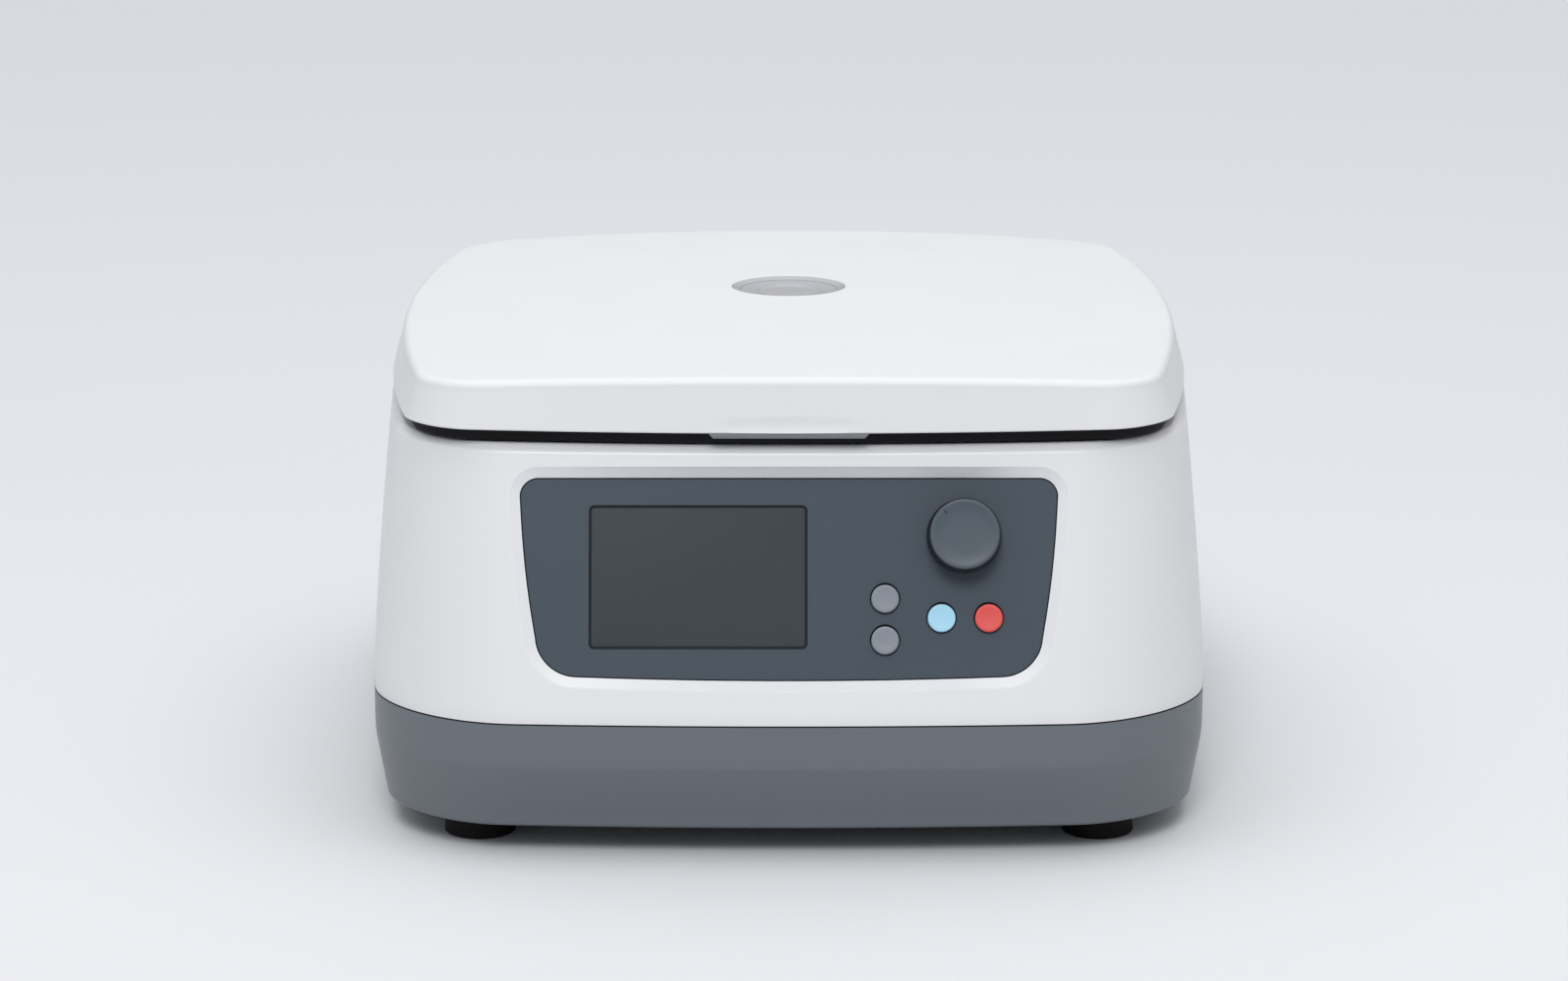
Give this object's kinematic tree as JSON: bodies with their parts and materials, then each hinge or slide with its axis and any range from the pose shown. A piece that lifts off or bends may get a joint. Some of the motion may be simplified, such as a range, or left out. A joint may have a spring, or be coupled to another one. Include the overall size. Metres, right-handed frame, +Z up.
{
  "type": "cytocentrifuge",
  "caption": "Bench cytocentrifuge with a bowed pale housing on a dark base, a crowned hinged lid, a leaning control panel and a swing carrier rotor in a steel bowl.",
  "frame": {"origin": "on the floor under the middle of the instrument", "axes": "+X to the right of someone facing the panel, +Y to the back, +Z up"},
  "size_m": [0.412, 0.464, 0.2279],
  "materials": {
    "housing_plastic": "satin",
    "base_plastic": "matte",
    "panel": "satin",
    "screen": "gloss",
    "electronics": "matte",
    "rubber": "matte",
    "steel": "brushed",
    "zinc": "satin",
    "aluminium": "satin",
    "window": "gloss",
    "ring": "satin",
    "knob": "satin",
    "button_grey": "satin",
    "button_blue": "satin",
    "button_red": "satin",
    "black_plastic": "satin",
    "clear": "gloss",
    "liner": "satin"
  },
  "bodies": {
    "base": {"base_tub": "base_plastic", "chassis_plate": "zinc", "feet": "rubber", "chassis_screws": "steel", "upper_housing": "housing_plastic", "control_panel": "panel", "display_glass": "screen", "display_module": "black_plastic", "control_board": "electronics", "board_standoffs": "steel", "encoder_body": "black_plastic", "bowl": "steel", "bowl_gasket": "rubber", "shaft_boot": "rubber", "motor_housing": "zinc", "motor_bearings": "steel", "motor_plate": "zinc", "vibration_mounts": "rubber", "latch_body": "black_plastic", "hinge_brackets": "zinc", "hinge_pins": "steel", "power_inlet": "black_plastic", "power_supply": "aluminium"},
    "lid": {"lid_shell": "housing_plastic", "lid_liner": "liner", "lid_window": "window", "window_ring": "ring", "lid_grip": "housing_plastic", "lid_striker": "steel", "lid_hinge_arms": "zinc", "lid_screws": "steel"},
    "rotor": {"rotor_shaft": "steel", "rotor_head": "aluminium", "rotor_nut": "black_plastic"},
    "knob": {"knob": "knob", "encoder_shaft": "steel"},
    "mode_button_upper": {"mode_button_upper": "button_grey"},
    "mode_button_lower": {"mode_button_lower": "button_grey"},
    "start_button": {"start_button": "button_blue"},
    "stop_button": {"stop_button": "button_red"},
    "latch_pawl": {"latch_pawl": "zinc"},
    "power_rocker": {"power_rocker": "black_plastic"},
    "carrier_1": {"clip_1": "steel", "chamber_1": "clear", "slide_1": "clear"},
    "carrier_2": {"clip_2": "steel", "chamber_2": "clear", "slide_2": "clear"},
    "carrier_3": {"clip_3": "steel", "chamber_3": "clear", "slide_3": "clear"},
    "carrier_4": {"clip_4": "steel", "chamber_4": "clear", "slide_4": "clear"},
    "carrier_5": {"clip_5": "steel", "chamber_5": "clear", "slide_5": "clear"},
    "carrier_6": {"clip_6": "steel", "chamber_6": "clear", "slide_6": "clear"}
  },
  "joints": [
    {"name": "lid_hinge", "type": "hinge", "parent": "base", "child": "lid", "pos_m": [0, 0.20805, 0.2005], "axis": [-1, 0, 0], "range_deg": [0, 75]},
    {"name": "rotor_spin", "type": "hinge", "parent": "base", "child": "rotor", "pos_m": [0, 0.018, 0.11], "axis": [0, 0, 1], "continuous": true},
    {"name": "knob_turn", "type": "hinge", "parent": "base", "child": "knob", "pos_m": [0.0816, -0.20016, 0.15062], "axis": [0, -0.9563, 0.2924], "continuous": true},
    {"name": "mode_button_upper_press", "type": "slide", "parent": "base", "child": "mode_button_upper", "axis": [0, 0.9563, -0.2924], "range_m": [0, 0.0015], "stiffness_N_per_m": 400},
    {"name": "mode_button_lower_press", "type": "slide", "parent": "base", "child": "mode_button_lower", "axis": [0, 0.9563, -0.2924], "range_m": [0, 0.0015], "stiffness_N_per_m": 400},
    {"name": "start_button_press", "type": "slide", "parent": "base", "child": "start_button", "axis": [0, 0.9563, -0.2924], "range_m": [0, 0.0015], "stiffness_N_per_m": 400},
    {"name": "stop_button_press", "type": "slide", "parent": "base", "child": "stop_button", "axis": [0, 0.9563, -0.2924], "range_m": [0, 0.0015], "stiffness_N_per_m": 400},
    {"name": "latch_pawl_swing", "type": "hinge", "parent": "base", "child": "latch_pawl", "pos_m": [0.0085, -0.16998, 0.16], "axis": [0, -1, 0], "range_deg": [0, 12]},
    {"name": "power_rocker_tip", "type": "hinge", "parent": "base", "child": "power_rocker", "pos_m": [0.084, 0.218, 0.1173], "axis": [1, 0, 0], "range_deg": [-8, 8]},
    {"name": "carrier_1_swing", "type": "hinge", "parent": "rotor", "child": "carrier_1", "pos_m": [0.0918, 0.071, 0.108], "axis": [-0.5, 0.866, 0], "range_deg": [0, 12]},
    {"name": "carrier_2_swing", "type": "hinge", "parent": "rotor", "child": "carrier_2", "pos_m": [0, 0.124, 0.108], "axis": [-1, 0, 0], "range_deg": [0, 12]},
    {"name": "carrier_3_swing", "type": "hinge", "parent": "rotor", "child": "carrier_3", "pos_m": [-0.0918, 0.071, 0.108], "axis": [-0.5, -0.866, 0], "range_deg": [0, 12]},
    {"name": "carrier_4_swing", "type": "hinge", "parent": "rotor", "child": "carrier_4", "pos_m": [-0.0918, -0.035, 0.108], "axis": [0.5, -0.866, 0], "range_deg": [0, 12]},
    {"name": "carrier_5_swing", "type": "hinge", "parent": "rotor", "child": "carrier_5", "pos_m": [0, -0.088, 0.108], "axis": [1, 0, 0], "range_deg": [0, 12]},
    {"name": "carrier_6_swing", "type": "hinge", "parent": "rotor", "child": "carrier_6", "pos_m": [0.0918, -0.035, 0.108], "axis": [0.5, 0.866, 0], "range_deg": [0, 12]}
  ]
}
